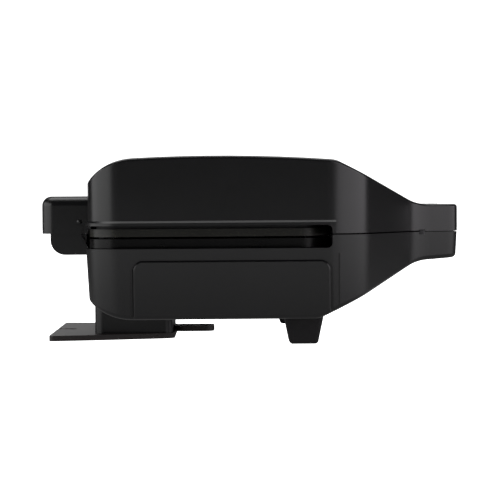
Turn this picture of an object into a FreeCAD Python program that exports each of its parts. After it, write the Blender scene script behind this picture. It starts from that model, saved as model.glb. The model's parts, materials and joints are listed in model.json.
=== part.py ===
import FreeCAD, Part
import Sketcher
import math
import os
import re

V = FreeCAD.Vector
Z_UP = V(0, 0, 1)

doc = FreeCAD.newDocument("waffle_maker")
dims = doc.addObject("Spreadsheet::Sheet", "dims")

# Driving dimensions in millimetres and degrees. +X points to the handle, +Z is up,
# and the origin is on the table under the middle of the outline.
DIMENSIONS = [
    # Outline of both casings, seen from above
    ("rim_rear", -95.8, "rear edge of the rim"),
    ("rim_half", 113, "half width at the rim"),
    ("rear_round", 20, "radius of the two rear corners"),
    ("cheek_front", 57.6, "where the straight side would meet the diagonal"),
    ("cheek_round", 30, "radius where the side turns into the diagonal"),
    ("neck_front", 97.3, "where the diagonal would meet the handle's side"),
    ("neck_half", 44.4, "half width of the handle's root"),
    ("neck_round", 25, "radius of the handle's root"),
    ("nose_front", 124.1, "front end of the handle"),
    ("nose_half", 36, "half width of the handle's end"),
    ("nose_round", 10, "radius of the handle's end corners"),
    ("wall", 2.6, "wall of the moulded casings"),
    ("edge_round", 1.8, "round of the lid's top edge"),
    ("belly_round", 2.8, "round of the base's bottom edge"),
    ("draft", 3, "taper of the base's walls, degrees"),
    # Heights of the rim
    ("parting", 63, "height where the two halves of the handle meet"),
    ("parting_gap", 0.2, "half of the gap between the halves"),
    ("window_low", 55.5, "top of the base's rim beside the plates"),
    ("window_high", 68.4, "bottom of the lid's rim beside the plates"),
    ("window_front", 43.5, "front end of the open rim"),
    ("flange_top", 71.1, "top of the lid's rim flange"),
    ("flange_step", 1.5, "how far the flange stands out"),
    ("bead", 1.1, "bevel of the flange's upper edge"),
    ("rim_relief", 0.4, "extra gap under the lid's cheeks"),
    # Lid, seen from the side
    ("lid_shoulder", 92.6, "top of the lid's rear wall"),
    ("lid_rear_arc", 35.6, "radius of the lid's rear shoulder"),
    ("crown_rear", -68, "rear end of the crown"),
    ("crown_level", 106.3, "height at the rear end of the crown"),
    ("crown_arc", 900, "radius of the crown"),
    ("crown_front", 45.5, "front end of the crown"),
    ("crown_front_level", 104.9, "height at the front end of the crown"),
    ("lid_slope_foot", 98.7, "where the lid's slope meets the handle"),
    ("handle_top", 79.3, "top of the handle"),
    ("slope_round", 12.7, "radius at the top of the slope"),
    ("handle_round", 30, "radius at the foot of the slope"),
    # Base, seen from the side
    ("base_shoulder", 26.4, "bottom of the base's rear wall"),
    ("base_rear_arc", 37, "radius of the base's rear shoulder"),
    ("rear_lean", 1.9, "how far the rear wall stands in at its foot"),
    ("belly_rear", -68, "rear end of the bottom"),
    ("belly", 15.8, "height of the bottom's rear end"),
    ("belly_front", 36, "front end of the bottom"),
    ("base_slope_foot", 98.9, "where the base's slope meets the handle"),
    ("handle_low", 45.6, "bottom of the handle"),
    ("handle_low_end", 47.2, "bottom of the handle at its end"),
    # Raised panel on each side of the base
    ("panel_rear", -68.4, "rear edge of the side panel"),
    ("panel_front", 42.7, "front edge of the side panel"),
    ("panel_top", 49, "top edge of the side panel"),
    ("panel_round", 6, "corner radius of the side panel"),
    ("groove_wide", 1.1, "width of the groove round the panel"),
    ("groove_deep", 0.9, "depth of the groove round the panel"),
    ("panel_bevel", 1.1, "width of the panel's bevelled edge"),
    ("seam_front", 47.2, "middle of the upright seam before the panel"),
    ("seam_wide", 0.9, "width of that seam"),
    ("seam_top", 52.5, "top of that seam"),
    ("seam_deep", 0.45, "how much deeper the seam goes than the groove"),
    # Cooking plates
    ("plate_rear", -93.8, "rear edge of the plates"),
    ("plate_front", 42.7, "front edge of the plates"),
    ("plate_half", 103, "half width of the plates"),
    ("plate_round", 17, "corner radius of the plates"),
    ("low_rim_under", 55.8, "underside of the lower plate's rim"),
    ("low_rim_top", 60.9, "top of the lower plate's rim"),
    ("high_rim_under", 62.1, "underside of the upper plate's rim"),
    ("high_rim_top", 66.5, "top of the upper plate's rim"),
    ("tray_inset", 7, "how far the trays stand in from the rims"),
    ("waffle_deep", 9, "depth of each waffle cavity"),
    ("waffle_along", 112, "length of a waffle, front to rear"),
    ("waffle_across", 90, "width of a waffle"),
    ("waffle_middle", 49.5, "middle of a waffle, from the centre line"),
    ("lug_pitch", 22, "distance between the lugs of the grid"),
    ("lug_wide", 15, "side of a lug at its foot"),
    ("lug_tip", 12, "side of a lug at its tip"),
    ("lug_tall", 6, "height of a lug"),
    ("tray_floor", 3, "thickness of the trays' floors"),
    ("cavity_round", 6, "corner radius of the waffle cavities"),
    # Bezels, heaters and shields
    ("bezel_thick", 2.5, "thickness of the bezels"),
    ("slack", 0.3, "clearance between pieces that don't touch"),
    ("heater_bore", 3.2, "radius of the heater tubes"),
    ("heater_inset", 27, "how far the heater tubes stand in from the plates' edges"),
    ("heater_bend", 22, "bend radius of the heater tubes"),
    ("clamp_thick", 1.2, "sheet thickness of the heater clamps"),
    ("shield_thick", 0.8, "sheet thickness of the heat shields"),
    ("shield_deep", 17, "depth of the heat shields"),
    # Hinge
    ("axis_rear", -101.6, "hinge axis, along X"),
    ("axis_level", 66.1, "hinge axis, height"),
    ("cap_rear", -123.3, "rear of the lid's hinge cap"),
    ("cap_front", -94.3, "front of the lid's hinge cap"),
    ("cap_low", 63.6, "lower edge of the hinge cap"),
    ("cap_top", 85.4, "top of the hinge cap"),
    ("cap_half", 69, "half width of the hinge cap"),
    ("cap_wall", 2, "wall of the hinge cap"),
    ("cap_round", 5.5, "round of the hinge cap's top edges"),
    ("cap_corner", 7, "round of the hinge cap's upright edges"),
    ("housing_rear", -118.3, "rear of the base's hinge housing"),
    ("housing_low", 51.2, "bottom of the hinge housing"),
    ("housing_top", 64.9, "top of the hinge housing"),
    ("housing_half", 65.8, "half width of the hinge housing"),
    ("housing_round", 8.7, "lower rear round of the hinge housing"),
    ("housing_brow", -101.2, "front of the hinge housing at its top"),
    ("knuckle", 4.6, "side of the square bosses beside the hinge"),
    ("knuckle_end", 69.6, "outer end of those bosses"),
    ("dot", 2.2, "radius of the round boss above each square one"),
    ("pin_bore", 2.5, "radius of the hinge pins"),
    ("pin_play", 0.06, "radial play of the hinge pins"),
    ("ear_round", 4.4, "radius of the hinge ears"),
    ("ear_thick", 2, "sheet thickness of the hinge brackets"),
    ("ear_base", 49, "inner face of the base's ear"),
    ("ear_lid", 46.4, "inner face of the lid's ear"),
    # Cord wrap under the rear
    ("wrap_rear", -120.8, "rear edge of the cord wrap plate"),
    ("wrap_front", -47, "front edge of the cord wrap plate"),
    ("wrap_half_rear", 57, "half width of the plate at the rear"),
    ("wrap_half_front", 41, "half width of the plate at the front"),
    ("wrap_thick", 3.2, "thickness of the plate"),
    ("wrap_slot_deep", 9, "depth of the slot that holds the cord"),
    ("wrap_slot_wide", 4.4, "width of the slot that holds the cord"),
    ("block_rear", -95, "rear face of the cord wrap block"),
    ("block_front", -48.5, "front face of the cord wrap block"),
    ("block_half", 40, "half width of the cord wrap block"),
    ("tongue_front", -23.4, "front end of the tongue"),
    ("tongue_half", 10, "half width of the tongue"),
    ("tongue_low", 1.8, "underside of the tongue"),
    ("tongue_top", 5.1, "top of the tongue"),
    ("gland_round", 7, "radius of the cord gland's collar"),
    ("gland_bore", 3.6, "radius of the cord gland's hole"),
    ("gland_long", 12, "length of the cord gland"),
    ("gland_level", 10.4, "height of the cord gland"),
    ("lead_way", -72, "where the leads rise into the base, along X"),
    ("lead_way_round", 8, "radius of the hole that the leads rise through"),
    # Feet
    ("foot_middle", 28.2, "middle of the front feet, along X"),
    ("foot_side", 82, "middle of the front feet, from the centre line"),
    ("foot_top_half", 11.4, "half width of a foot at its top"),
    ("foot_low_half", 8.1, "half width of a foot at the floor"),
    ("foot_round", 2.2, "round of a foot's edges"),
    ("foot_well", 8, "depth of the screw well in a foot"),
    # Handle
    ("bumper_middle", 101.3, "middle of the handle bumpers"),
    ("bumper_long", 3.4, "length of the handle bumpers"),
    ("bumper_low", 61.2, "underside of the handle bumpers"),
    ("bumper_top", 63.8, "top of the handle bumpers"),
    ("lens_rear", 103, "rear of the indicator lens"),
    ("lens_front", 115, "front of the indicator lens"),
    ("lens_half", 13, "half width of the indicator lens"),
    ("lens_top", 79.6, "top of the indicator lens"),
    ("lens_seat", 76, "underside of the indicator lens"),
    # Screws and their posts
    ("post_round", 5.2, "radius of the casings' screw posts"),
    ("post_side", 103.6, "side posts, from the centre line"),
    ("post_rear", -66, "rear side posts, along X"),
    ("post_front", 22, "front side posts, along X"),
    ("post_cap", 2.6, "floor at the end of a screw well"),
    ("well_round", 3.7, "radius of the screw wells"),
    ("screw_head", 3.4, "radius of a screw's head"),
    ("screw_head_tall", 2.2, "height of a screw's head"),
    ("screw_shank", 1.7, "radius of a screw's shank"),
    ("screw_long", 10, "length of a screw's shank"),
]

for row, (word, value, note) in enumerate(DIMENSIONS, start=1):
    dims.set(f"A{row}", note)
    dims.set(f"B{row}", str(value))
    dims.setAlias(f"B{row}", word)
doc.recompute()


def bound(formula):
    """Turn a formula of the sheet's words into an expression that FreeCAD can bind."""
    return re.sub(r"\b[a-z]\w*\b(?!\()", lambda word: "dims." + word.group(), str(formula))


def size(formula):
    """The number that a formula of the sheet's words stands for."""
    return float(dims.evalExpression(bound(formula)))


def bind(thing, **formulas):
    """Bind properties to formulas: a double underscore stands for the dot of a sub-property."""
    for name, formula in formulas.items():
        thing.setExpression(name.replace("__", "."), bound(formula))


# ---- Bodies and sketches -------------------------------------------------------------

def new_body(label):
    body = doc.addObject("PartDesign::Body", label)
    body.Label = label
    return body


def arc_between(start, end, radius):
    """Minor arc from start to end, and whether it runs from its end to its start.

    A positive radius puts the centre on the left of the way from start to end."""
    chord = end - start
    left = V(-chord.y, chord.x, 0).normalize()
    reach = math.sqrt(radius ** 2 - (chord.Length / 2) ** 2)
    centre = (start + end) * 0.5 + left * math.copysign(reach, radius)
    first, last = (start, end) if radius > 0 else (end, start)
    angles = [math.atan2(p.y - centre.y, p.x - centre.x) for p in (first, last)]
    circle = Part.Circle(centre, Z_UP, abs(radius))
    return Part.ArcOfCircle(circle, angles[0], angles[1]), radius < 0


def outline(body, label, plane, corners, lift="0", arcs=None):
    """Closed sketch on one of the body's own planes, its corners pairs of formulas.

    arcs maps a corner's number to the radius of the side that leaves it."""
    arcs = arcs or {}
    sketch = body.newObject("Sketcher::SketchObject", label)
    origin_plane = [f for f in body.Origin.OriginFeatures if f.Role == plane][0]
    sketch.AttachmentSupport = [(origin_plane, "")]
    sketch.MapMode = "FlatFace"
    places = [V(size(a), size(b), 0) for a, b in corners]
    count = len(places)
    ends = []
    for k, start in enumerate(places):
        end = places[(k + 1) % count]
        if k in arcs:
            side, turned = arc_between(start, end, size(arcs[k]))
        else:
            side, turned = Part.LineSegment(start, end), False
        sketch.addGeometry(side)
        ends.append((2, 1) if turned else (1, 2))
    for k in range(count):
        following = (k + 1) % count
        joint = Sketcher.Constraint("Coincident", k, ends[k][1], following, ends[following][0])
        sketch.addConstraint(joint)
    for k, (a, b) in enumerate(corners):
        for kind, formula, value in (("DistanceX", a, places[k].x), ("DistanceY", b, places[k].y)):
            name = f"{kind}_{k}"
            number = sketch.addConstraint(Sketcher.Constraint(kind, k, ends[k][0], value))
            sketch.renameConstraint(number, name)
            sketch.setExpression(f"Constraints.{name}", bound(formula))
    for k, radius in arcs.items():
        number = sketch.addConstraint(Sketcher.Constraint("Radius", k, abs(size(radius))))
        sketch.renameConstraint(number, f"Radius_{k}")
        sketch.setExpression(f"Constraints.Radius_{k}", bound(str(radius).lstrip("-")))
    bind(sketch, AttachmentOffset__Base__z=lift)
    return sketch


def add(body, sketch, length, down=False, middle=False):
    """Pad a sketch: up from its plane, down from it, or to both sides of it."""
    feature = body.newObject("PartDesign::Pad", sketch.Label + "_pad")
    feature.Profile = sketch
    feature.Reversed = down
    feature.Midplane = middle
    bind(feature, Length=length)
    doc.recompute()
    return feature


def lean_walls(body, angle):
    """Draft every upright face of a pad inwards, going down from its top face."""
    base = body.Tip
    upright, top = [], None
    for k, face in enumerate(base.Shape.Faces, start=1):
        normal = face.normalAt(0, 0)
        if normal.z > 0.9:
            top = f"Face{k}"
        elif abs(normal.z) < 0.1:
            upright.append(f"Face{k}")
    feature = body.newObject("PartDesign::Draft", body.Label + "_draft")
    feature.Base = (base, upright)
    feature.NeutralPlane = (base, [top])
    bind(feature, Angle=angle)
    doc.recompute()
    low = min(vertex.Point.z for vertex in feature.Shape.Vertexes) + 0.1
    if max(abs(v.Point.y) for v in feature.Shape.Vertexes if v.Point.z < low) > size("rim_half"):
        feature.Reversed = True
        doc.recompute()
    return feature


def cut(body, sketch, length, up=False, middle=False):
    """Pocket a sketch and make sure that it removes something."""
    before = body.Shape.Volume
    feature = body.newObject("PartDesign::Pocket", sketch.Label + "_pocket")
    feature.Profile = sketch
    feature.Reversed = up
    feature.Midplane = middle
    bind(feature, Length=length)
    doc.recompute()
    if body.Shape.Volume > before - 0.01:
        raise RuntimeError(f"{feature.Label} removes nothing")
    return feature


def edges_where(shape, chosen):
    return [f"Edge{k}" for k, edge in enumerate(shape.Edges, start=1) if chosen(edge)]


def round_off(body, label, radius, chosen):
    """Fillet the edges of the body's last feature that the test chooses."""
    base = body.Tip
    names = edges_where(base.Shape, chosen)
    if not names:
        raise RuntimeError(f"{label}: no edge chosen")
    feature = body.newObject("PartDesign::Fillet", label)
    feature.Base = (base, names)
    bind(feature, Radius=radius)
    doc.recompute()
    if "Invalid" in feature.State:
        raise RuntimeError(f"{label}: the fillet fails")
    return feature


def bevel(body, wide, deep, chosen):
    """Chamfer the edges of the body's last feature that the test chooses.

    wide runs along the upper or outer face, and deep into the body."""
    base = body.Tip
    feature = body.newObject("PartDesign::Chamfer", body.Label + "_bevel")
    feature.Base = (base, edges_where(base.Shape, chosen))
    feature.ChamferType = "Two distances"
    bind(feature, Size=deep, Size2=wide)
    doc.recompute()
    if "Invalid" in feature.State or body.Shape.Volume > 0.9999 * base.Shape.Volume:
        raise RuntimeError(f"{body.Label}: the bevel fails")
    return feature


def direction(edge):
    """Unit vector along a straight edge, or a null vector for a curved one."""
    chord = edge.Vertexes[-1].Point - edge.Vertexes[0].Point
    straight = chord.Length > 0.9999 * edge.Length
    return chord.normalize() if straight else V(0, 0, 0)


def runs_up(edge):
    return abs(direction(edge).z) > 0.9


def runs_across(edge):
    return abs(direction(edge).y) > 0.99


def middle_of(edge):
    return edge.valueAt((edge.FirstParameter + edge.LastParameter) / 2)


def near(value, formula, room=1.0):
    return abs(value - size(formula)) < room


# ---- Plain solids --------------------------------------------------------------------

def block(label, low, high):
    """Part::Box between two corners given as formulas."""
    box = doc.addObject("Part::Box", label)
    sides = [f"({b}) - ({a})" for a, b in zip(low, high)]
    bind(box, Length=sides[0], Width=sides[1], Height=sides[2])
    bind(box, Placement__Base__x=low[0], Placement__Base__y=low[1], Placement__Base__z=low[2])
    return box


TURNS = {
    "x": FreeCAD.Rotation(V(0, 1, 0), 90),
    "y": FreeCAD.Rotation(V(1, 0, 0), -90),
    "z": FreeCAD.Rotation(),
}


def rod(label, start, radius, length, along="z"):
    """Part::Cylinder from a point, along +X, +Y or +Z."""
    cylinder = doc.addObject("Part::Cylinder", label)
    cylinder.Placement = FreeCAD.Placement(V(0, 0, 0), TURNS[along])
    bind(cylinder, Radius=radius, Height=length)
    bind(cylinder, Placement__Base__x=start[0], Placement__Base__y=start[1])
    bind(cylinder, Placement__Base__z=start[2])
    return cylinder


def fuse(label, pieces):
    joined = doc.addObject("Part::MultiFuse", label)
    joined.Shapes = pieces
    joined.Refine = True
    doc.recompute()
    return joined


def remove(label, base, tools):
    """Part::Cut of one or more tools from a solid."""
    tool = tools[0] if len(tools) == 1 else fuse(label + "_tools", tools)
    result = doc.addObject("Part::Cut", label)
    result.Base = base
    result.Tool = tool
    result.Refine = True
    doc.recompute()
    return result


def group(label, pieces):
    """One node of separate solids."""
    together = doc.addObject("Part::Compound", label)
    together.Links = pieces
    doc.recompute()
    return together


def mirrored(label, source):
    """The same piece on the other side of the centre plane."""
    other = doc.addObject("Part::Mirroring", label)
    other.Source = source
    other.Normal = V(0, 1, 0)
    doc.recompute()
    return other


def both_sides(label, piece):
    return group(label, [piece, mirrored(label + "_other_side", piece)])


# ---- Casings -------------------------------------------------------------------------

def plan_corners(inset, handle_inset=None):
    """Outline of both casings from above, moved inwards by a formula.

    handle_inset is the handle's own formula, when it differs from the rest."""
    handle = handle_inset or inset
    half = [
        (f"rim_rear + ({inset})", f"rim_half - ({inset})"),
        (f"cheek_front - ({inset}) / 2", f"rim_half - ({inset})"),
        (f"neck_front - ({handle})", f"neck_half - ({handle}) / 2"),
        (f"nose_front - ({handle})", f"nose_half - ({handle})"),
    ]
    other = [(x, f"-({y})") for x, y in reversed(half)]
    return half + other


def round_plan(body, inset):
    """Round the upright edges of a casing's prism."""
    corners = (
        ("rear", "rim_rear", f"rear_round - ({inset})"),
        ("cheek", "cheek_front", f"cheek_round - ({inset})"),
        ("neck", "neck_front", f"neck_round + ({inset})"),
        ("nose", "nose_front", f"nose_round - ({inset})"),
    )
    for word, place, radius in corners:
        round_off(body, f"{body.Label}_{word}", radius,
                  lambda edge: runs_up(edge) and near(middle_of(edge).x, place, 6))


def touches_wall_and_cover(shape, edge):
    """True for an edge between an upright wall and a face that isn't upright."""
    upright = []
    for face in shape.Faces:
        if any(edge.isSame(other) for other in face.Edges):
            u0, u1, v0, v1 = face.ParameterRange
            normal = face.normalAt((u0 + u1) / 2, (v0 + v1) / 2)
            upright.append(abs(normal.z) < 0.12)
    return len(upright) == 2 and upright[0] != upright[1]


def lid_block(label, inset, rounded):
    """Solid of the lid's outer form, or of its hollow when inset by the wall."""
    body = new_body(label)
    plan = outline(body, label + "_plan", "XY_Plane",
                   plan_corners(f"{inset} + flange_step", inset), lift="parting + parting_gap")
    add(body, plan, "60")
    round_plan(body, f"{inset} + flange_step")
    side = [
        ("rim_rear - 20", f"lid_shoulder - {inset}"),
        (f"rim_rear + flange_step + {inset}", f"lid_shoulder - {inset}"),
        ("crown_rear", f"crown_level - {inset}"),
        ("crown_front", f"crown_front_level - {inset}"),
        ("lid_slope_foot", f"handle_top - {inset}"),
        ("nose_front + 20", f"handle_top - {inset}"),
        ("nose_front + 20", "lid_shoulder + 60"),
        ("rim_rear - 20", "lid_shoulder + 60"),
    ]
    profile = outline(body, label + "_side", "XZ_Plane", side,
                      arcs={1: "-lid_rear_arc", 2: "-crown_arc"})
    cut(body, profile, "rim_half * 3", middle=True)
    for word, place, radius in (("brow", "crown_front", "slope_round"),
                                ("root", "lid_slope_foot", "handle_round")):
        round_off(body, f"{label}_{word}", radius,
                  lambda edge: runs_across(edge) and near(middle_of(edge).x, place, 6)
                  and middle_of(edge).z > size("handle_top") - 8)
    if rounded:
        shape = body.Tip.Shape
        round_off(body, label + "_edge", "edge_round",
                  lambda edge: touches_wall_and_cover(shape, edge)
                  and middle_of(edge).z > size("parting") + 3)
    return body


def base_block(label, inset, rounded):
    """Solid of the base's outer form, or of its hollow when inset by the wall."""
    body = new_body(label)
    plan = outline(body, label + "_plan", "XY_Plane", plan_corners(inset),
                   lift="parting - parting_gap")
    add(body, plan, "60", down=True)
    lean_walls(body, "draft")
    round_plan(body, inset)
    side = [
        ("rim_rear - 20", f"base_shoulder + {inset}"),
        (f"rim_rear + rear_lean + {inset}", f"base_shoulder + {inset}"),
        ("belly_rear", f"belly + {inset}"),
        ("belly_front", f"belly + {inset}"),
        ("base_slope_foot", f"handle_low + {inset}"),
        ("nose_front + 20", "handle_low_end + (handle_low_end - handle_low) * 20"
                            f" / (nose_front - base_slope_foot) + {inset}"),
        ("nose_front + 20", "belly - 30"),
        ("rim_rear - 20", "belly - 30"),
    ]
    profile = outline(body, label + "_side", "XZ_Plane", side, arcs={1: "base_rear_arc"})
    cut(body, profile, "rim_half * 3", middle=True)
    for word, place, radius in (("root", "base_slope_foot", "handle_round"),
                                ("bend", "belly_front", "slope_round")):
        round_off(body, f"{label}_{word}", radius,
                  lambda edge: runs_across(edge) and near(middle_of(edge).x, place, 4)
                  and middle_of(edge).z < size("parting") - 5)
    if rounded:
        shape = body.Tip.Shape
        round_off(body, label + "_edge", "belly_round",
                  lambda edge: touches_wall_and_cover(shape, edge)
                  and middle_of(edge).z < size("parting") - 3)
    return body


base_outer = base_block("base_outer", "0", True)
base_hollow = base_block("base_hollow", "wall", False)
lid_outer = lid_block("lid_outer", "0", True)
lid_hollow = lid_block("lid_hollow", "wall", False)


def plan_prism(label, inset, low, high):
    """Straight prism over the casings' outline, moved inwards."""
    body = new_body(label)
    plan = outline(body, label + "_plan", "XY_Plane", plan_corners(inset), lift=low)
    add(body, plan, f"({high}) - ({low})")
    round_plan(body, inset)
    return body


def common(label, base, tool):
    shared = doc.addObject("Part::Common", label)
    shared.Base = base
    shared.Tool = tool
    doc.recompute()
    return shared


def rounded_block(label, low, high, radius, upright=True):
    """Block between two corners with its upright edges, or its edges along Y, rounded."""
    body = new_body(label)
    if upright:
        corners = [(low[0], low[1]), (high[0], low[1]), (high[0], high[1]), (low[0], high[1])]
        sketch = outline(body, label + "_plan", "XY_Plane", corners, lift=low[2])
        add(body, sketch, f"({high[2]}) - ({low[2]})")
        round_off(body, label + "_corners", radius, runs_up)
    else:
        corners = [(low[0], low[2]), (high[0], low[2]), (high[0], high[2]), (low[0], high[2])]
        sketch = outline(body, label + "_side", "XZ_Plane", corners, lift=f"-({high[1]})")
        add(body, sketch, f"({high[1]}) - ({low[1]})")
        round_off(body, label + "_corners", radius, runs_across)
    return body


POST_PLACES = [
    ("post_rear", "post_side"), ("post_rear", "-post_side"),
    ("post_front", "post_side"), ("post_front", "-post_side"),
]


def rods(label, places, low, radius, length):
    """Upright rods at several places, as one object."""
    made = [rod(f"{label}_{k}", (x, y, low), radius, length)
            for k, (x, y) in enumerate(places, start=1)]
    return group(label, made) if len(made) > 1 else made[0]


def window(label, low, high):
    """Tool that opens the rim beside the plates, with a small round at its front end."""
    return rounded_block(label, ("rim_rear - 20", "-(rim_half + 20)", low),
                         ("window_front", "rim_half + 20", high), "flange_step * 2", upright=False)


FOOT_PLACES = [("foot_middle", "foot_side"), ("foot_middle", "-foot_side")]


# Lid: shell, rim flange, screw posts, seat for the indicator lens
lid_rim = plan_prism("lid_rim", "0", "parting + parting_gap", "flange_top")
bevel(lid_rim, "bead", "bead", lambda edge: near(middle_of(edge).z, "flange_top", 0.01))
lid_flange_ring = common("lid_flange_ring", lid_rim,
                         block("lid_rim_part", ("rim_rear - 5", "-(rim_half + 5)", "parting"),
                               ("window_front + 2", "rim_half + 5", "flange_top + 5")))
lid_with_flange = fuse("lid_with_flange", [lid_outer, lid_flange_ring])
lid_hollow_deep = fuse("lid_hollow_deep", [lid_hollow, plan_prism("lid_mouth", "flange_step + wall",
                                                                  "parting - 5", "parting + 5")])
lid_shell = remove("lid_shell", lid_with_flange,
                   [lid_hollow_deep, window("lid_window", "parting - 20", "window_high")])
LID_POST_LOW = "window_high + slack + bezel_thick"
lid_posts = common("lid_posts", rods("lid_post_rods", POST_PLACES, LID_POST_LOW, "post_round - 1", "60"),
                   lid_outer)
lens_seat = rounded_block("lens_seat", ("lens_rear", "-lens_half", "lens_seat"),
                          ("lens_front", "lens_half", "lens_top + 5"), "lens_half / 3")
lid_bumper_seats = both_sides("lid_bumper_seats", block(
    "lid_bumper_seat", ("bumper_middle - bumper_long / 2 - slack", "nose_half + 2", "bumper_low"),
    ("bumper_middle + bumper_long / 2 + slack", "neck_half + 4", "bumper_top + slack")))
lid_relief = block("lid_relief", ("window_front - 5", "-(rim_half + 5)", "parting - 5"),
                   ("bumper_middle - bumper_long / 2 - slack", "rim_half + 5",
                    "parting + parting_gap + rim_relief"))
lid_pilots = rods("lid_pilots", POST_PLACES, LID_POST_LOW, "screw_shank", "screw_long")
lid_casing = remove("lid_casing", fuse("lid_with_posts", [lid_shell, lid_posts]),
                    [lens_seat, lid_bumper_seats, lid_relief, lid_pilots])

# Base: shell, screw posts with their wells, groove round the side panels
base_shell = remove("base_shell", base_outer,
                    [base_hollow, window("base_window", "window_low", "parting + 20")])
nose_rib = block("nose_rib", ("nose_front - wall", "-nose_half / 2", "parting - parting_gap - 1"),
                 ("nose_front - wall / 3", "nose_half / 2", "parting + parting_gap - slack / 6"))
BASE_POST_TOP = "window_low - bezel_thick"
base_posts = common("base_posts", rods("base_post_rods", POST_PLACES, "belly", "post_round",
                                       f"{BASE_POST_TOP} - belly"), base_outer)
base_wells = rods("base_wells", POST_PLACES, "0", "well_round", f"{BASE_POST_TOP} - post_cap")
base_pilots = rods("base_pilots", POST_PLACES, "belly", "screw_shank + 0.2", "window_low - belly")


def panel_form(label, grow):
    """Side panel's form as a slab through one wall."""
    body = new_body(label)
    corners = [(f"panel_rear - ({grow})", "belly - 15"),
               (f"panel_front + ({grow})", "belly - 15"),
               (f"panel_front + ({grow})", f"panel_top + ({grow})"),
               (f"panel_rear - ({grow})", f"panel_top + ({grow})")]
    sketch = outline(body, label + "_outline", "XZ_Plane", corners)
    add(body, sketch, "groove_deep * 2")
    round_off(body, label + "_corners", f"panel_round + ({grow})",
              lambda edge: runs_across(edge) and near(middle_of(edge).z, "panel_top", 5))
    return body


panel_inside = panel_form("panel_inside", "0")
bevel(panel_inside, "panel_bevel * 2", "groove_deep * 2 - 0.02",
      lambda edge: near(abs(middle_of(edge).y), "groove_deep * 2", 0.01)
      and middle_of(edge).z > size("belly") - 14)
groove_flat = remove("groove_flat", panel_form("panel_outside", "groove_wide"), [panel_inside])
seam_flat = block("seam_flat", ("seam_front - seam_wide / 2", "-groove_deep * 2", "belly - 15"),
                  ("seam_front + seam_wide / 2", "seam_deep", "seam_top"))
side_marks = fuse("side_marks", [groove_flat, seam_flat])
side_marks.Placement = FreeCAD.Placement(
    V(0, size("groove_deep") - size("rim_half"), 0), FreeCAD.Rotation(V(1, 0, 0), size("draft")),
    V(0, 0, size("parting")))
doc.recompute()
grooves = both_sides("grooves", side_marks)
base_bumper_seats = both_sides("base_bumper_seats", block(
    "base_bumper_seat", ("bumper_middle - bumper_long / 2", "nose_half + 2", "bumper_low"),
    ("bumper_middle + bumper_long / 2", "neck_half + 4", "bumper_top")))
lead_hole = rod("lead_hole", ("lead_way", "block_half * 0.4", "belly - 8"), "lead_way_round",
                "wall + 12")
base_casing = remove("base_casing", fuse("base_with_posts", [base_shell, base_posts, nose_rib]),
                     [base_wells, base_pilots, grooves, base_bumper_seats, lead_hole,
                      rods("foot_pilots", FOOT_PLACES, "belly - 2", "screw_shank", "wall + 5")])


# ---- Bezels that carry the plates ----------------------------------------------------

def bezel(label, inset, deck, front, lip, pilot):
    """Frame that closes a casing round its plate: deck, raised front part, lip, opening.

    deck, front and lip are pairs of heights, lowest first."""
    step = "window_front + slack * 2"
    lowest = f"{deck[0]}" if label.startswith("base") else f"{front[0]}"
    highest = f"{front[1]}" if label.startswith("base") else f"{deck[1]}"
    span = "rim_half + 5"
    slabs = [
        (deck, ("rim_rear", f"-({span})"), (f"{step} + bezel_thick", span)),
        (front, (step, f"-({span})"), ("nose_front", span)),
        ((lowest, highest), (step, f"-({span})"), (f"{step} + bezel_thick", span)),
    ]
    pieces = []
    for k, ((low, high), near_corner, far_corner) in enumerate(slabs, start=1):
        part = block(f"{label}_slab_{k}", (*near_corner, low), (*far_corner, high))
        pieces.append(common(f"{label}_part_{k}", plan_prism(f"{label}_form_{k}", inset, low, high), part))
    pieces.append(rounded_block(
        f"{label}_lip", ("plate_rear + tray_inset - 3", "-(plate_half - tray_inset + 3)", lip[0]),
        ("plate_front - tray_inset + 3", "plate_half - tray_inset + 3", lip[1]), "plate_round - 5"))
    opening = rounded_block(
        f"{label}_opening", ("plate_rear + tray_inset - slack", "-(plate_half - tray_inset + slack)", "0"),
        ("plate_front - tray_inset + slack", "plate_half - tray_inset + slack", "lid_shoulder"),
        "plate_round - 7")
    holes = rods(f"{label}_holes", POST_PLACES, "0", pilot, "lid_shoulder")
    tools = [opening, holes]
    if label.startswith("lid"):
        tools.append(rods(f"{label}_head_seats", POST_PLACES, f"{deck[0]} - 1", "screw_head + slack",
                          "screw_head_tall + 1"))
    return remove(label, fuse(label + "_frame", pieces), tools)


base_bezel = bezel("base_bezel", "wall + slack * 3",
                   ("window_low - bezel_thick", "window_low - slack / 3"),
                   ("parting - bezel_thick - slack", "parting - slack"),
                   ("window_low - bezel_thick", "low_rim_under"), "screw_shank")
lid_bezel = bezel("lid_bezel", "flange_step + wall + slack",
                  ("window_high + slack", LID_POST_LOW),
                  ("parting + slack", "parting + slack + bezel_thick"),
                  ("high_rim_top", LID_POST_LOW), "screw_shank + 0.2")


# ---- Cooking plates ------------------------------------------------------------------

def lug_grid(label, root, tip):
    """Tapered square lugs of both waffles, from their root's height to their tip's height."""
    wide, narrow, pitch = size("lug_wide"), size("lug_tip"), size("lug_pitch")
    start, end = size(root), size(tip)
    along = int(size("waffle_along") // pitch)
    across = int(size("waffle_across") // pitch)
    middle = (size("plate_rear") + size("plate_front")) / 2
    lugs = []
    for side in (-1, 1):
        for i in range(along):
            for j in range(across):
                x = middle + (i - (along - 1) / 2) * pitch
                y = side * size("waffle_middle") + (j - (across - 1) / 2) * pitch
                squares = []
                for half, level in ((wide / 2, start), (narrow / 2, end)):
                    corners = [V(x - half, y - half, level), V(x + half, y - half, level),
                               V(x + half, y + half, level), V(x - half, y + half, level)]
                    squares.append(Part.makePolygon(corners + corners[:1]))
                lugs.append(Part.makeLoft(squares, True, True))
    grid = doc.addObject("Part::Feature", label)
    grid.Shape = Part.makeCompound(lugs)
    return grid


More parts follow.
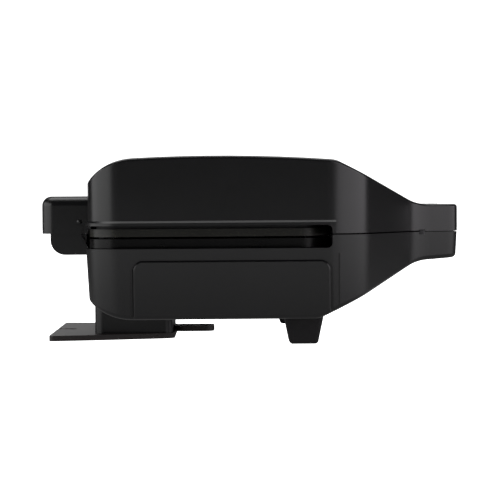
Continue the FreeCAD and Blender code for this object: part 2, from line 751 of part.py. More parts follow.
def waffle_plate(label, rim_low, rim_high, mouth, sense):
    """Die-cast plate: rim, tray behind it, two waffle cavities open at the mouth, lugs.

    sense is + when the tray is above the mouth and - when it is below."""
    floor = f"{mouth} {sense} waffle_deep"
    back = f"{floor} {sense} tray_floor"
    low, high = (back, rim_low) if sense == "-" else (rim_high, back)
    rim = rounded_block(label + "_rim", ("plate_rear", "-plate_half", rim_low),
                        ("plate_front", "plate_half", rim_high), "plate_round")
    tray = rounded_block(
        label + "_tray", ("plate_rear + tray_inset", "-(plate_half - tray_inset)", low),
        ("plate_front - tray_inset", "plate_half - tray_inset", high), "plate_round - tray_inset")
    cavity_low, cavity_high = (floor, f"{mouth} + 1") if sense == "-" else (f"{mouth} - 1", floor)
    cavities = []
    for side in ("", "-"):
        name = f"{label}_cavity{'_left' if side else '_right'}"
        middle = f"({side}waffle_middle)"
        cavities.append(rounded_block(
            name, ("(plate_rear + plate_front - waffle_along) / 2",
                   f"{middle} - waffle_across / 2", cavity_low),
            ("(plate_rear + plate_front + waffle_along) / 2",
             f"{middle} + waffle_across / 2", cavity_high), "cavity_round"))
    blank = remove(label + "_blank", fuse(label + "_solid", [rim, tray]), cavities)
    tip = f"{floor} + lug_tall" if sense == "-" else f"{floor} - lug_tall"
    root = f"{floor} - 0.5" if sense == "-" else f"{floor} + 0.5"
    return fuse(label, [blank, lug_grid(label + "_lugs", root, tip)])


lower_waffle_plate = waffle_plate("lower_waffle_plate", "low_rim_under", "low_rim_top",
                                  "low_rim_top", "-")
upper_waffle_plate = waffle_plate("upper_waffle_plate", "high_rim_under", "high_rim_top",
                                  "high_rim_under", "+")
LOWER_BACK = "(low_rim_top - waffle_deep - tray_floor)"
UPPER_BACK = "(high_rim_under + waffle_deep + tray_floor)"


# ---- Heaters, clamps, shields, controls ----------------------------------------------

def tube(label, route, radius, bend):
    """Round bar along straight runs joined by tangent arcs, as one solid."""
    runs, start = [], route[0]
    for corner, following in zip(route[1:-1], route[2:]):
        back = (start - corner).normalize()
        ahead = (following - corner).normalize()
        half_turn = (math.pi - back.getAngle(ahead)) / 2
        reach = bend * math.tan(half_turn)
        enter, leave = corner + back * reach, corner + ahead * reach
        inward = (back + ahead).normalize()
        centre = corner + inward * (bend / math.cos(half_turn))
        runs.append(Part.LineSegment(start, enter).toShape())
        runs.append(Part.Arc(enter, centre - inward * bend, leave).toShape())
        start = leave
    runs.append(Part.LineSegment(start, route[-1]).toShape())
    path = Part.Wire(runs)
    section = Part.Wire(Part.Circle(route[0], (route[1] - route[0]).normalize(), radius).toShape())
    bar = doc.addObject("Part::Feature", label)
    bar.Shape = path.makePipeShell([section], True, False)
    return bar


def heater(label, level):
    """Tubular heater bent into an open loop, with an insulator and a pin at each end."""
    rear = size("plate_rear + heater_inset")
    front = size("plate_front - heater_inset")
    half = size("plate_half - heater_inset")
    gap, z = size("heater_bend"), size(level)
    route = [V(rear, -gap / 2, z), V(rear, -half, z), V(front, -half, z),
             V(front, half, z), V(rear, half, z), V(rear, gap / 2, z)]
    loop = tube(label + "_loop", route, size("heater_bore"), size("heater_bend"))
    ends = []
    for side in ("", "-"):
        start = "heater_bend / 2 - 5" if not side else "-heater_bend / 2"
        pin_start = "heater_bend / 2 - 9" if not side else "-heater_bend / 2 + 5"
        mark = "left" if side else "right"
        ends.append(rod(f"{label}_insulator_{mark}", ("plate_rear + heater_inset", start, level),
                        "heater_bore * 0.9", "5", "y"))
        ends.append(rod(f"{label}_pin_{mark}", ("plate_rear + heater_inset", pin_start, level),
                        "screw_shank * 0.7", "4", "y"))
    return fuse(label, [loop, *ends])


LOWER_HEATER = f"{LOWER_BACK} - heater_bore - 0.05"
UPPER_HEATER = f"{UPPER_BACK} + heater_bore + 0.05"
lower_heating_element = heater("lower_heating_element", LOWER_HEATER)
upper_heating_element = heater("upper_heating_element", UPPER_HEATER)


def element_clamps(label, level, back, sense):
    """Bridges that hold the heater against its tray, one in the middle of each long run."""
    clamps = []
    for k, place in enumerate(("plate_half - heater_inset", "-(plate_half - heater_inset)"), start=1):
        middle = "(plate_rear + plate_front) / 2"
        reach = "(heater_bore + slack)"
        far = f"{level} {sense} {reach}"
        outside = (f"{far} - clamp_thick", back) if sense == "-" else (back, f"{far} + clamp_thick")
        inside = (far, f"{back} + 1") if sense == "-" else (f"{back} - 1", far)
        bridge = block(f"{label}_bridge_{k}", (f"{middle} - 5", f"{place} - {reach} - 5", outside[0]),
                       (f"{middle} + 5", f"{place} + {reach} + 5", outside[1]))
        room = block(f"{label}_room_{k}", (f"{middle} - 6", f"{place} - {reach}", inside[0]),
                     (f"{middle} + 6", f"{place} + {reach}", inside[1]))
        clamps.append(remove(f"{label}_{k}", bridge, [room]))
    return group(label, clamps)


lower_element_clamps = element_clamps("lower_element_clamps", LOWER_HEATER, LOWER_BACK, "-")
upper_element_clamps = element_clamps("upper_element_clamps", UPPER_HEATER, UPPER_BACK, "+")


def heat_shield(label, mouth, floor_level, sense):
    """Thin pan round the heater, open towards the plate."""
    low, high = (floor_level, mouth) if sense == "-" else (mouth, floor_level)
    room_low, room_high = ((f"{floor_level} + shield_thick", f"{mouth} + 1") if sense == "-"
                           else (f"{mouth} - 1", f"{floor_level} - shield_thick"))
    outer = rounded_block(label + "_outside", ("plate_rear + 5", "-(plate_half - 5.5)", low),
                          ("plate_front - 4", "plate_half - 5.5", high), "plate_round - 5")
    room = rounded_block(
        label + "_room", ("plate_rear + 5 + shield_thick", "-(plate_half - 5.5 - shield_thick)", room_low),
        ("plate_front - 4 - shield_thick", "plate_half - 5.5 - shield_thick", room_high),
        "plate_round - 5 - shield_thick")
    vent_places = [("plate_rear + heater_inset", "12"), ("plate_rear + heater_inset", "-12")]
    vents = rods(label + "_vents", vent_places, "0", "4", "cap_top + 30")
    return remove(label, outer, [room, vents])


lower_heat_shield = heat_shield("lower_heat_shield", "window_low - bezel_thick",
                                "window_low - bezel_thick - shield_deep", "-")
upper_heat_shield = heat_shield("upper_heat_shield", LID_POST_LOW,
                                f"{LID_POST_LOW} + shield_deep", "+")

lower_thermostat = fuse("lower_thermostat", [
    rod("thermostat_can", ("-25", "0", f"{LOWER_BACK} - 7"), "9", "7"),
    rod("thermostat_stud", ("-25", "0", f"{LOWER_BACK} - 12"), "3", "5"),
    block("thermostat_tabs", ("-37", "-3", f"{LOWER_BACK} - 6"), ("-13", "3", f"{LOWER_BACK} - 5"))])
upper_thermal_fuse = fuse("upper_thermal_fuse", [
    rod("fuse_can", ("-40", "0", f"{UPPER_BACK} + 2.6"), "2.4", "16", "x"),
    rod("fuse_leads", ("-50", "0", f"{UPPER_BACK} + 2.6"), "0.8", "36", "x")])
terminal_block = remove("terminal_block", block(
    "terminal_body", ("-66", "-16", "belly + wall + slack"), ("-52", "16", "belly + wall + 11")),
    [rods("terminal_wells", [("-59", f"{k * 8}") for k in (-1.5, -0.5, 0.5, 1.5)],
          "belly + wall + 5", "2.2", "10")])


# ---- Hinge ---------------------------------------------------------------------------

cap_outside = rounded_block("cap_outside", ("cap_rear", "-cap_half", "cap_low"),
                            ("cap_front + 12", "cap_half", "cap_top"), "cap_corner")
cap_form = doc.addObject("Part::Fillet", "cap_form")
cap_form.Base = cap_outside
cap_edges = [(int(name[4:]), size("cap_round"), size("cap_round")) for name in edges_where(
    cap_outside.Shape, lambda edge: middle_of(edge).z > size("cap_top") - 0.01)]
cap_form.Edges = cap_edges
doc.recompute()
cap_hollow = rounded_block(
    "cap_hollow", ("cap_rear + cap_wall", "-(cap_half - cap_wall)", "cap_low - 5"),
    ("cap_front + 20", "cap_half - cap_wall", "cap_top - cap_wall"), "cap_wall * 2", upright=False)
cap_end = block("cap_end", ("cap_front", "-(cap_half + 5)", "cap_low - 5"),
                ("cap_front + 25", "cap_half + 5", "cap_top + 5"))
cap_rim_step = block("cap_rim_step", ("rim_rear - slack", "-(cap_half + 5)", "cap_low - 5"),
                     ("cap_front + 25", "cap_half + 5", "flange_top + slack"))
cap_square = block(
    "cap_square", ("axis_rear - knuckle / 2", "cap_half - cap_wall / 2", "axis_level - knuckle / 2"),
    ("axis_rear + knuckle / 2", "knuckle_end", "axis_level + knuckle / 2"))
cap_dot = doc.addObject("Part::Sphere", "cap_dot")
bind(cap_dot, Radius="dot", Placement__Base__x="axis_rear + dot / 4",
     Placement__Base__y="knuckle_end - dot", Placement__Base__z="axis_level + knuckle / 2 + dot")
cap_bosses = both_sides("cap_bosses", fuse("cap_boss", [cap_square, cap_dot]))
cap_flange = both_sides("cap_flange", block(
    "cap_flange_strip", ("cap_front - 4.6", "cap_half - cap_wall", "flange_top + slack"),
    ("cap_front", "cap_half + 0.9", "cap_top - cap_round")))
lid_hinge_cap = remove("lid_hinge_cap", fuse("cap_with_marks", [cap_form, cap_flange, cap_bosses]),
                       [cap_hollow, cap_end, cap_rim_step])

HOUSING_FRONT = "rim_rear + 0.6"
housing_form = new_body("housing_form")
housing_side = outline(housing_form, "housing_side", "XZ_Plane", [
    ("housing_rear", "housing_low"), (HOUSING_FRONT, "housing_low"),
    (HOUSING_FRONT, "housing_low + 1.2"), ("housing_brow", "housing_top"),
    ("housing_rear", "housing_top")], lift="-housing_half")
add(housing_form, housing_side, "housing_half * 2")
round_off(housing_form, "housing_corner", "housing_round",
          lambda edge: runs_across(edge) and near(middle_of(edge).x, "housing_rear")
          and near(middle_of(edge).z, "housing_low"))
housing_room = block("housing_room",
                     ("housing_rear + wall", "-(housing_half - wall)", "housing_low + wall"),
                     (f"{HOUSING_FRONT} - 1", "housing_half - wall", "housing_top + 5"))
base_hinge_housing = remove("base_hinge_housing", housing_form, [housing_room, base_outer])


def hinge_bracket(label, ear_face, ear_hole, arm, foot):
    """Bent steel bracket: ear round the pin, arm, and foot against a wall."""
    ear = rod(label + "_ear", ("axis_rear", ear_face, "axis_level"), "ear_round", "ear_thick", "y")
    arm_block = block(label + "_arm", (arm[0], ear_face, arm[1]),
                      (arm[2], f"{ear_face} + ear_thick", arm[3]))
    foot_block = block(label + "_foot", *foot)
    hole = rod(label + "_hole", ("axis_rear", f"{ear_face} - 5", "axis_level"), ear_hole, "15", "y")
    return remove(label, fuse(label + "_blank", [ear, arm_block, foot_block]), [hole])


base_hinge_bracket_right = hinge_bracket(
    "base_hinge_bracket_right", "ear_base", "pin_bore",
    ("axis_rear - ear_round", "housing_low + wall", "axis_rear + 3", "axis_level"),
    (("axis_rear - ear_round", "ear_base", "housing_low + wall"),
     ("axis_rear + 3", "ear_base + 12", "housing_low + wall + ear_thick")))
base_hinge_bracket_left = mirrored("base_hinge_bracket_left", base_hinge_bracket_right)
lid_hinge_bracket_right = hinge_bracket(
    "lid_hinge_bracket_right", "ear_lid", "pin_bore + pin_play",
    ("axis_rear - ear_round", "axis_level", "rim_rear - slack", "axis_level + 12"),
    (("cap_front - ear_thick", "ear_lid - 12", "flange_top + slack"),
     ("cap_front", "ear_lid", "axis_level + 12")))
lid_hinge_bracket_left = mirrored("lid_hinge_bracket_left", lid_hinge_bracket_right)
hinge_pin_right = fuse("hinge_pin_right", [
    rod("pin_shaft", ("axis_rear", "ear_lid - 1.4", "axis_level"), "pin_bore", "ear_thick * 2 + 3.4", "y"),
    rod("pin_head", ("axis_rear", "ear_base + ear_thick", "axis_level"), "pin_bore + 1.4", "1.6", "y")])
hinge_pin_left = mirrored("hinge_pin_left", hinge_pin_right)


# ---- Cord wrap, gland, feet ----------------------------------------------------------

wrap_form = new_body("wrap_form")
wrap_sketch = outline(wrap_form, "wrap_outline", "XY_Plane", [
    ("wrap_rear", "-wrap_half_rear"), ("block_rear", "-(wrap_half_rear - 4)"),
    ("wrap_front", "-wrap_half_front"), ("wrap_front", "wrap_half_front"),
    ("block_rear", "wrap_half_rear - 4"), ("wrap_rear", "wrap_half_rear")])
add(wrap_form, wrap_sketch, "wrap_thick")
round_off(wrap_form, "wrap_front_corners", "8",
          lambda edge: runs_up(edge) and near(middle_of(edge).x, "wrap_front"))
round_off(wrap_form, "wrap_rear_corners", "2.5",
          lambda edge: runs_up(edge) and near(middle_of(edge).x, "wrap_rear"))
wrap_slot = block("wrap_slot", ("wrap_rear - 5", "-wrap_slot_wide / 2", "-5"),
                  ("wrap_rear + wrap_slot_deep", "wrap_slot_wide / 2", "wrap_thick + 5"))
wrap_eye = rod("wrap_eye", ("wrap_rear + wrap_slot_deep", "0", "-5"), "wrap_slot_wide * 0.7", "15")
wrap_tongue = rounded_block("wrap_tongue", ("block_front + 0.1", "-tongue_half", "tongue_low"),
                            ("tongue_front", "tongue_half", "tongue_top"), "tongue_half * 0.6")
wrap_flat = remove("wrap_flat", wrap_form, [wrap_slot, wrap_eye])
cord_wrap_plate = fuse("cord_wrap_plate", [wrap_flat, wrap_tongue])
block_form = rounded_block("block_form", ("block_rear", "-block_half", "wrap_thick"),
                           ("block_front", "block_half", "housing_low"), "5")
gland_hole = rod("gland_hole", ("block_rear - 1", "block_half / 2", "gland_level"),
                 "gland_round - 1.5", "gland_long + 1", "x")
gland_seat = rod("gland_seat", ("block_rear - 1", "block_half / 2", "gland_level"),
                 "gland_round", "3", "x")
block_room = rounded_block("block_room", ("block_rear + wall", "-(block_half - wall)", "0"),
                           ("block_front - wall", "block_half - wall", "housing_low + 5"), "2.4")
cord_wrap_block = remove("cord_wrap_block", block_form,
                         [base_outer, gland_hole, gland_seat, block_room])
cord_gland = remove("cord_gland", fuse("gland_body", [
    rod("gland_collar", ("block_rear", "block_half / 2", "gland_level"), "gland_round", "2", "x"),
    rod("gland_sleeve", ("block_rear", "block_half / 2", "gland_level"),
        "gland_round - 1.5", "gland_long", "x")]),
    [rod("gland_way", ("block_rear - 5", "block_half / 2", "gland_level"), "gland_bore", "40", "x")])

foot_taper = doc.addObject("Part::Wedge", "foot_taper")
bind(foot_taper, Xmin="-foot_low_half", Xmax="foot_low_half", Zmin="-foot_low_half",
     Zmax="foot_low_half", X2min="-foot_top_half", X2max="foot_top_half", Z2min="-foot_top_half",
     Z2max="foot_top_half", Ymin="0", Ymax="belly + 1")
foot_taper.Placement = FreeCAD.Placement(V(0, 0, 0), FreeCAD.Rotation(V(1, 0, 0), 90))
bind(foot_taper, Placement__Base__x="foot_middle", Placement__Base__y="foot_side")
doc.recompute()
foot_form = doc.addObject("Part::Fillet", "foot_form")
foot_form.Base = foot_taper
foot_form.Edges = [(int(name[4:]), size("foot_round"), size("foot_round")) for name in edges_where(
    foot_taper.Shape, lambda edge: abs(direction(edge).z) > 0.7 or middle_of(edge).z < 0.01)]
doc.recompute()
front_foot_right = remove("front_foot_right", foot_form, [
    rod("foot_screw_well", ("foot_middle", "foot_side", "-1"), "well_round", "foot_well + 1"),
    rod("foot_screw_hole", ("foot_middle", "foot_side", "0"), "screw_shank + 0.2", "belly + 5"),
    base_outer])
front_foot_left = mirrored("front_foot_left", front_foot_right)


# ---- Handle: bumpers, lens, lamps ----------------------------------------------------

BUMPER_OUT = "neck_half - 1.1"
handle_bumper_right = rounded_block(
    "handle_bumper_right", ("bumper_middle - bumper_long / 2", "neck_half - 3", "bumper_low"),
    ("bumper_middle + bumper_long / 2", BUMPER_OUT, "bumper_top"), "0.8")
handle_bumper_left = mirrored("handle_bumper_left", handle_bumper_right)
indicator_lens = rounded_block("indicator_lens", ("lens_rear", "-lens_half", "lens_seat"),
                               ("lens_front", "lens_half", "lens_top"), "lens_half / 3")
indicator_lamps = group("indicator_lamps", [
    rod(f"indicator_lamp_{k}", ("(lens_rear + lens_front) / 2", place, "lens_seat - 9.5"), "2.4", "9")
    for k, place in enumerate(("lens_half / 2", "-lens_half / 2"), start=1)])
lamp_holder = remove("lamp_holder", block(
    "lamp_holder_body", ("lens_rear - 2", "-(lens_half + 2)", "parting + slack + bezel_thick"),
    ("lens_front + 2", "lens_half + 2", "lens_seat - 5")),
    [rods("lamp_sockets", [("(lens_rear + lens_front) / 2", "lens_half / 2"),
                           ("(lens_rear + lens_front) / 2", "-lens_half / 2")],
          "lens_seat - 9.5", "2.4", "20")])


# ---- Wiring --------------------------------------------------------------------------

def leads(label, routes, bend):
    wires = [tube(f"{label}_{k}", route, 1.3, bend) for k, route in enumerate(routes, start=1)]
    return group(label, wires)


lead_x, lead_z = size("lead_way"), size("gland_level")
base_leads = leads("base_leads", [
    [V(size("block_rear + gland_long") + 1, size("block_half / 2") + side * 1.6, lead_z),
     V(lead_x, size("block_half / 2") + side * 1.6, lead_z), V(lead_x, 8 + side * 4, 33),
     V(-59, 8 + side * 4, 33), V(-59, 8 + side * 4, 25)] for side in (-1, 1)], 4)
lid_leads = leads("lid_leads", [
    [V(-85, side * 9, 91), V(-20, side * 5, 95), V(60, side * 5, 88),
     V(size("lens_rear") + 3, side * 6.5, 73)] for side in (-1, 1)], 12)


# ---- Fasteners -----------------------------------------------------------------------

def screws(label, places, low, upwards=True, long="screw_long"):
    """Identical upright pan-head screws with cross recesses, one solid each.

    low is the height of the head's outer face; the shank points up or down from it."""
    head, tall = size("screw_head"), size("screw_head_tall")
    shank, length = size("screw_shank"), size(long)
    sense = 1 if upwards else -1
    along = V(0, 0, sense)
    one = Part.makeCylinder(head, tall, V(0, 0, 0), along)
    one = one.fuse(Part.makeCylinder(shank, tall + length, V(0, 0, 0), along)).removeSplitter()
    for long_side, short_side in ((head * 1.3, 0.8), (0.8, head * 1.3)):
        slot = Part.makeBox(long_side, short_side, 2.4, V(-long_side / 2, -short_side / 2, -1.2))
        one = one.cut(slot)
    made = []
    for x, y in places:
        screw = one.copy()
        screw.translate(V(size(x), size(y), size(low)))
        made.append(screw)
    node = doc.addObject("Part::Feature", label)
    node.Shape = Part.makeCompound(made)
    return node


base_casing_screws = screws("base_casing_screws", POST_PLACES,
                            f"{BASE_POST_TOP} - post_cap - screw_head_tall",
                            long="post_cap + bezel_thick - 0.4")
lid_casing_screws = screws("lid_casing_screws", POST_PLACES, "window_high + slack")
foot_screws = screws("foot_screws", FOOT_PLACES, "foot_well - screw_head_tall",
                     long="belly + wall - foot_well - 1")


# ---- Write each piece ----------------------------------------------------------------

NODES = [
    lid_casing, base_casing, base_bezel, lid_bezel, lower_waffle_plate, upper_waffle_plate,
    lower_heating_element, upper_heating_element, lower_element_clamps, upper_element_clamps,
    lower_heat_shield, upper_heat_shield, lower_thermostat, upper_thermal_fuse, terminal_block,
    lid_hinge_cap, base_hinge_housing, base_hinge_bracket_right, base_hinge_bracket_left,
    lid_hinge_bracket_right, lid_hinge_bracket_left, hinge_pin_right, hinge_pin_left,
    cord_wrap_plate, cord_wrap_block, cord_gland,
    front_foot_right, front_foot_left, handle_bumper_right, handle_bumper_left,
    indicator_lens, indicator_lamps, lamp_holder, base_leads, lid_leads,
    base_casing_screws, lid_casing_screws, foot_screws,
]

doc.recompute()
faults = []
for thing in doc.Objects:
    if "Invalid" in thing.State or "Error" in thing.State:
        faults.append(f"{thing.Label}: {thing.State}")
for node in NODES:
    if node.Shape.isNull() or not node.Shape.isValid() or not node.Shape.Solids:
        faults.append(f"{node.Label}: its shape is null, not valid or has no solid")
if faults:
    raise RuntimeError("; ".join(faults))

os.makedirs("parts", exist_ok=True)
for node in NODES:
    node.Shape.exportStep(f"parts/{node.Label}.step")
    print(node.Label, len(node.Shape.Solids), "solids,", round(node.Shape.Volume / 1000, 2), "cm3")
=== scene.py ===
import json
import math

import bpy
from mathutils import Matrix, Vector

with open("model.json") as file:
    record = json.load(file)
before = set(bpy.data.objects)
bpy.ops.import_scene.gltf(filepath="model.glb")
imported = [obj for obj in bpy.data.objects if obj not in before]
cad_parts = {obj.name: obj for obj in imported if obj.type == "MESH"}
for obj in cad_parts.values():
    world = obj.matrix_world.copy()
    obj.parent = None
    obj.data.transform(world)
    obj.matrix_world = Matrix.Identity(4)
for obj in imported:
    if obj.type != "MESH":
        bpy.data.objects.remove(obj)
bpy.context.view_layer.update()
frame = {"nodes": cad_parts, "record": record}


MM = 0.001


# ---- Camera --------------------------------------------------------------------------

# The camera stands a metre away on the right side, a little to the rear of the middle and
# below the lid's top. It is turned slightly towards the handle and slightly down.
CAMERA_PLACE = Vector((-17.2, -1070.4, 82.2)) * MM
CAMERA_TURN = math.radians(-0.87)
CAMERA_DIP = math.radians(-1.647)
CAMERA_ROLL = math.radians(-0.4)
CAMERA_LENS_MM = 123.84
SENSOR_WIDTH_MM = 36.0
NEAREST = 0.05
FARTHEST = 50.0


def make_camera():
    data = bpy.data.cameras.new("camera")
    data.lens = CAMERA_LENS_MM
    data.sensor_width = SENSOR_WIDTH_MM
    data.clip_start = NEAREST
    data.clip_end = FARTHEST
    camera = bpy.data.objects.new("camera", data)
    bpy.context.scene.collection.objects.link(camera)
    turn = (Matrix.Rotation(CAMERA_TURN, 4, "Z") @ Matrix.Rotation(math.pi / 2 + CAMERA_DIP, 4, "X")
            @ Matrix.Rotation(CAMERA_ROLL, 4, "Z"))
    camera.matrix_world = Matrix.Translation(CAMERA_PLACE) @ turn
    bpy.context.scene.camera = camera


# ---- Nodes for materials -------------------------------------------------------------

# Sockets of a Mix node that mixes colours
MIX_FACTOR = 0
MIX_FIRST = 6
MIX_SECOND = 7
MIX_RESULT = 2


def colour_mix(tree, factor, first, second):
    """Mix node between two colours; factor is an output of the same tree."""
    mix = tree.nodes.new("ShaderNodeMix")
    mix.data_type = "RGBA"
    mix.inputs[MIX_FIRST].default_value = (*first, 1.0)
    mix.inputs[MIX_SECOND].default_value = (*second, 1.0)
    tree.links.new(factor, mix.inputs[MIX_FACTOR])
    return mix


class Surface:
    """A Principled material with short ways to add detail to it."""

    def __init__(self, name, colour, roughness, metallic=0.0, specular=0.5):
        self.material = bpy.data.materials.new(name)
        self.material.use_nodes = True
        self.tree = self.material.node_tree
        self.shader = self.tree.nodes["Principled BSDF"]
        self.shader.inputs["Base Color"].default_value = (*colour, 1.0)
        self.shader.inputs["Roughness"].default_value = roughness
        self.shader.inputs["Metallic"].default_value = metallic
        self.shader.inputs["Specular IOR Level"].default_value = specular
        self.place = self.tree.nodes.new("ShaderNodeTexCoord").outputs["Object"]

    def node(self, kind, **values):
        made = self.tree.nodes.new(kind)
        for name, value in values.items():
            setattr(made, name, value)
        return made

    def link(self, source, target):
        self.tree.links.new(source, target)

    def noise(self, scale, detail=2.0, stretch=None):
        """Noise of a given scale per metre; stretch scales each direction of it."""
        where = self.place
        if stretch:
            mapping = self.node("ShaderNodeMapping")
            mapping.inputs["Scale"].default_value = stretch
            self.link(where, mapping.inputs["Vector"])
            where = mapping.outputs["Vector"]
        texture = self.node("ShaderNodeTexNoise")
        texture.inputs["Scale"].default_value = scale
        texture.inputs["Detail"].default_value = detail
        self.link(where, texture.inputs["Vector"])
        return texture.outputs["Fac"]

    def spread(self, value, low, high, from_low=0.3, from_high=0.7):
        """Maps a value to a new range."""
        mapped = self.node("ShaderNodeMapRange")
        mapped.inputs["From Min"].default_value = from_low
        mapped.inputs["From Max"].default_value = from_high
        mapped.inputs["To Min"].default_value = low
        mapped.inputs["To Max"].default_value = high
        self.link(value, mapped.inputs["Value"])
        return mapped.outputs["Result"]

    def blend_colours(self, factor, first, second):
        return colour_mix(self.tree, factor, first, second).outputs[MIX_RESULT]

    def multiply(self, first, second):
        product = self.node("ShaderNodeMath", operation="MULTIPLY")
        self.link(first, product.inputs[0])
        self.link(second, product.inputs[1])
        return product.outputs[0]

    def colour_from(self, output):
        self.link(output, self.shader.inputs["Base Color"])

    def roughness_from(self, output):
        self.link(output, self.shader.inputs["Roughness"])

    def bump(self, height, strength, depth):
        """Bump with a strength and a depth in metres, on top of any that is there."""
        bump = self.node("ShaderNodeBump")
        bump.inputs["Strength"].default_value = strength
        bump.inputs["Distance"].default_value = depth
        self.link(height, bump.inputs["Height"])
        normal = self.shader.inputs["Normal"]
        if normal.links:
            self.link(normal.links[0].from_socket, bump.inputs["Normal"])
        self.link(bump.outputs["Normal"], normal)


# ---- Materials -----------------------------------------------------------------------

# Noise scales are per metre, and bump depths are in metres.

def moulded_plastic(name, dark, light, roughness):
    """Moulded plastic: spark texture, slow colour drift, faint rubbed patches."""
    made = Surface(name, dark, roughness, specular=0.5)
    made.colour_from(made.blend_colours(made.spread(made.noise(14.0, 3.0), 0.0, 1.0), dark, light))
    patches = made.noise(38.0, 4.0)
    made.roughness_from(made.spread(patches, roughness - 0.015, roughness + 0.015, 0.2, 0.8))
    made.bump(made.noise(2600.0, 2.0), 0.06, 0.00006)
    return made.material


def cast_coating(name, dark, light, roughness, speckle, specular):
    """Non-stick coating on a casting: orange-peel surface with fine pale speckle."""
    made = Surface(name, dark, roughness, specular=specular)
    specks = made.spread(made.noise(speckle, 1.0), 0.0, 1.0, 0.62, 0.72)
    made.colour_from(made.blend_colours(specks, dark, light))
    made.roughness_from(made.spread(made.noise(60.0, 3.0), roughness - 0.08, roughness + 0.08))
    made.bump(made.noise(900.0, 2.0), 0.1, 0.00006)
    return made.material


def sheet_metal(name, colour, roughness, stretch=(4.0, 1.0, 1.0)):
    """Rolled or turned metal with fine lines along one direction."""
    made = Surface(name, colour, roughness, metallic=1.0)
    lines = made.noise(700.0, 3.0, stretch)
    darker = tuple(0.75 * part for part in colour)
    made.colour_from(made.blend_colours(made.spread(lines, 0.0, 1.0), darker, colour))
    made.roughness_from(made.spread(made.noise(90.0, 3.0), roughness - 0.08, roughness + 0.1))
    made.bump(lines, 0.15, 0.00004)
    return made.material


def rubber(name, dark, light, roughness):
    """Matt rubber: fine grain, and slight changes of colour and sheen."""
    made = Surface(name, dark, roughness, specular=0.35)
    made.colour_from(made.blend_colours(made.spread(made.noise(120.0, 4.0), 0.0, 1.0), dark, light))
    made.roughness_from(made.spread(made.noise(300.0, 3.0), roughness - 0.07, roughness + 0.07))
    made.bump(made.noise(1800.0, 2.0), 0.3, 0.00005)
    return made.material


def clear_plastic(name, colour, roughness, passing):
    """Clear moulding that lets a share of the light pass."""
    made = Surface(name, colour, roughness, specular=0.5)
    made.shader.inputs["Transmission Weight"].default_value = passing
    made.shader.inputs["IOR"].default_value = 1.49
    made.roughness_from(made.spread(made.noise(200.0, 2.0), roughness - 0.03, roughness + 0.05))
    made.bump(made.noise(900.0, 2.0), 0.08, 0.00003)
    return made.material


# For each slot: its maker, then what the maker is given after the name
LOOKS = {
    "casing_plastic": (moulded_plastic, (0.0034, 0.0034, 0.0038), (0.0045, 0.0045, 0.005), 0.3),
    "bezel_plastic": (moulded_plastic, (0.006, 0.006, 0.0065), (0.008, 0.008, 0.009), 0.6),
    # lower_coating is the coating of upper_coating made darker, with fainter speckle and less shine:
    # painted shade on the lower plate under the upper one.
    "lower_coating": (cast_coating, (0.0015, 0.0015, 0.0015), (0.005, 0.005, 0.004), 0.32, 1500.0, 0.2),
    "upper_coating": (cast_coating, (0.008, 0.008, 0.0055), (0.045, 0.045, 0.028), 0.38, 1300.0, 0.4),
    "heater_sheath": (sheet_metal, (0.22, 0.2, 0.18), 0.5),
    "sheet_steel": (sheet_metal, (0.55, 0.55, 0.56), 0.35),
    "pin_steel": (sheet_metal, (0.6, 0.6, 0.6), 0.25, (1.0, 4.0, 1.0)),
    "screw_steel": (sheet_metal, (0.3, 0.3, 0.31), 0.38),
    "control_metal": (sheet_metal, (0.65, 0.65, 0.64), 0.35),
    "wrap_plastic": (moulded_plastic, (0.022, 0.017, 0.0165), (0.028, 0.022, 0.021), 0.5),
    "gland_rubber": (rubber, (0.007, 0.0062, 0.007), (0.009, 0.008, 0.009), 0.6),
    "bumper_silicone": (rubber, (0.05, 0.05, 0.053), (0.07, 0.07, 0.073), 0.5),
    "lens_clear": (clear_plastic, (0.8, 0.81, 0.81), 0.18, 0.75),
    "lamp_glass": (clear_plastic, (0.9, 0.45, 0.25), 0.12, 0.6),
    "inner_plastic": (moulded_plastic, (0.5, 0.47, 0.4), (0.56, 0.53, 0.46), 0.45),
    "lead_insulation": (rubber, (0.42, 0.42, 0.4), (0.5, 0.5, 0.47), 0.5),
}
MATERIALS = {slot: make(slot, *look) for slot, (make, *look) in LOOKS.items()}


def dress_cad_nodes():
    """Give every CAD node the material of its slot."""
    for part in frame["record"]["subparts"]:
        node = frame["nodes"][part["node"]]
        node.data.materials.clear()
        node.data.materials.append(MATERIALS[part["material_slot"]])


# ---- Studio --------------------------------------------------------------------------

FLOOR_REACH = 4.0
FLOOR_LEVEL = -0.0002
FLOOR_COLOUR = (0.16, 0.16, 0.16)

# The floor's glow in reflections: its strength, the share of it that is left close by as painted
# shade of the object's shadow, the distances in metres over which it rises and falls, and the Y over
# which the far side fades
FLOOR_GLOW = 1.2
CLOSE_PAINTED_SHADE_SHARE = 0.2
GLOW_RISES = (0.32, 0.55)
GLOW_FALLS = (0.65, 0.85)
FAR_SIDE_FADES = (-0.05, 0.1)

# The floor's glow that the camera sees
FLOOR_WHITE = 2.0

# The world's shades. A direction meets the wall where its Y passes the wall's soft edge.
ROOM_GREY = (0.012, 0.012, 0.013)
WALL_WHITE = (1.0, 1.0, 1.0)
BACKDROP_WHITE = (1.5, 1.5, 1.5)
WALL_EDGE = (0.86, 0.92)


def flat_sheet(name, low, high, level):
    """Rectangle at one height, for the floor."""
    mesh = bpy.data.meshes.new(name)
    corners = [(low[0], low[1], level), (high[0], low[1], level),
               (high[0], high[1], level), (low[0], high[1], level)]
    mesh.from_pydata(corners, [], [(0, 1, 2, 3)])
    sheet = bpy.data.objects.new(name, mesh)
    bpy.context.scene.collection.objects.link(sheet)
    return sheet


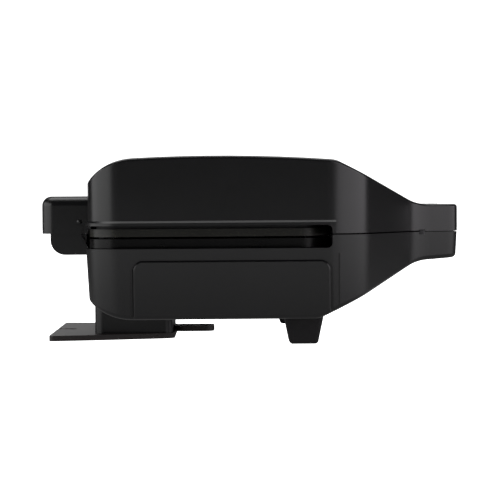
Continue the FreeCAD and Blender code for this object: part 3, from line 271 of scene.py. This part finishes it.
def make_floor():
    """White to the camera; in reflections lit on the camera's side, with painted shade of the object's
    shadow close by, and dark far off.
    """
    floor = flat_sheet("floor", (-FLOOR_REACH, -FLOOR_REACH), (FLOOR_REACH, FLOOR_REACH), FLOOR_LEVEL)
    pale = Surface("floor_pale", FLOOR_COLOUR, 0.9, specular=0.0)
    across = pale.node("ShaderNodeSeparateXYZ")
    pale.link(pale.place, across.inputs[0])
    distance = pale.node("ShaderNodeVectorMath", operation="LENGTH")
    pale.link(pale.place, distance.inputs[0])
    near_side = pale.spread(across.outputs["Y"], FLOOR_GLOW, 0.0, *FAR_SIDE_FADES)
    # Painted shade: the glow is dimmed close to the object, where its shadow falls.
    past_painted_shade = pale.spread(distance.outputs["Value"], CLOSE_PAINTED_SHADE_SHARE, 1.0, *GLOW_RISES)
    not_far = pale.spread(distance.outputs["Value"], 1.0, 0.0, *GLOW_FALLS)
    lit = pale.multiply(pale.multiply(near_side, past_painted_shade), not_far)
    seen = pale.node("ShaderNodeMath", operation="MAXIMUM")
    path = pale.node("ShaderNodeLightPath")
    pale.link(pale.spread(path.outputs["Is Camera Ray"], 0.0, FLOOR_WHITE, 0.0, 1.0), seen.inputs[0])
    pale.link(lit, seen.inputs[1])
    pale.shader.inputs["Emission Color"].default_value = (1.0, 1.0, 1.0, 1.0)
    pale.link(seen.outputs[0], pale.shader.inputs["Emission Strength"])
    floor.data.materials.append(pale.material)


def soft_box(name, place, target, width, height, power, tint=(1.0, 1.0, 1.0)):
    """Rectangular light that faces its target."""
    data = bpy.data.lights.new(name, "AREA")
    data.color = tint
    data.shape = "RECTANGLE"
    data.size = width
    data.size_y = height
    data.energy = power
    light = bpy.data.objects.new(name, data)
    bpy.context.scene.collection.objects.link(light)
    place, target = Vector(place), Vector(target)
    turn = (target - place).to_track_quat("-Z", "Y").to_matrix().to_4x4()
    light.matrix_world = Matrix.Translation(place) @ turn


def make_world():
    """White to the camera; to everything else a dim room with a white wall at its far end."""
    world = bpy.data.worlds.new("studio")
    bpy.context.scene.world = world
    world.use_nodes = True
    tree = world.node_tree
    background = tree.nodes["Background"]
    background.inputs["Strength"].default_value = 1.0
    facing = tree.nodes.new("ShaderNodeSeparateXYZ")
    directions = tree.nodes.new("ShaderNodeTexCoord")
    tree.links.new(directions.outputs["Generated"], facing.inputs[0])
    wall = tree.nodes.new("ShaderNodeMapRange")
    wall.inputs["From Min"].default_value = WALL_EDGE[0]
    wall.inputs["From Max"].default_value = WALL_EDGE[1]
    tree.links.new(facing.outputs["Y"], wall.inputs["Value"])
    path = tree.nodes.new("ShaderNodeLightPath")
    room = colour_mix(tree, wall.outputs["Result"], ROOM_GREY, WALL_WHITE)
    seen = colour_mix(tree, path.outputs["Is Camera Ray"], ROOM_GREY, BACKDROP_WHITE)
    tree.links.new(room.outputs[MIX_RESULT], seen.inputs[MIX_FIRST])
    tree.links.new(seen.outputs[MIX_RESULT], background.inputs["Color"])


def make_lights():
    """Soft boxes above and on both sides, each with place, target, width, height and power."""
    middle = (0.0, 0.0, 0.06)
    soft_box("top_light", (0.0, 0.15, 1.3), middle, 1.6, 1.0, 14.0)
    soft_box("handle_side_light", (1.12, -0.56, 0.25), middle, 2.0, 1.0, 12.0, (1.0, 0.96, 1.0))
    soft_box("hinge_side_light", (-1.17, -0.45, 0.25), middle, 2.1, 1.0, 12.0)


make_camera()
make_floor()
make_world()
make_lights()
bpy.context.scene.view_settings.view_transform = "Standard"
dress_cad_nodes()
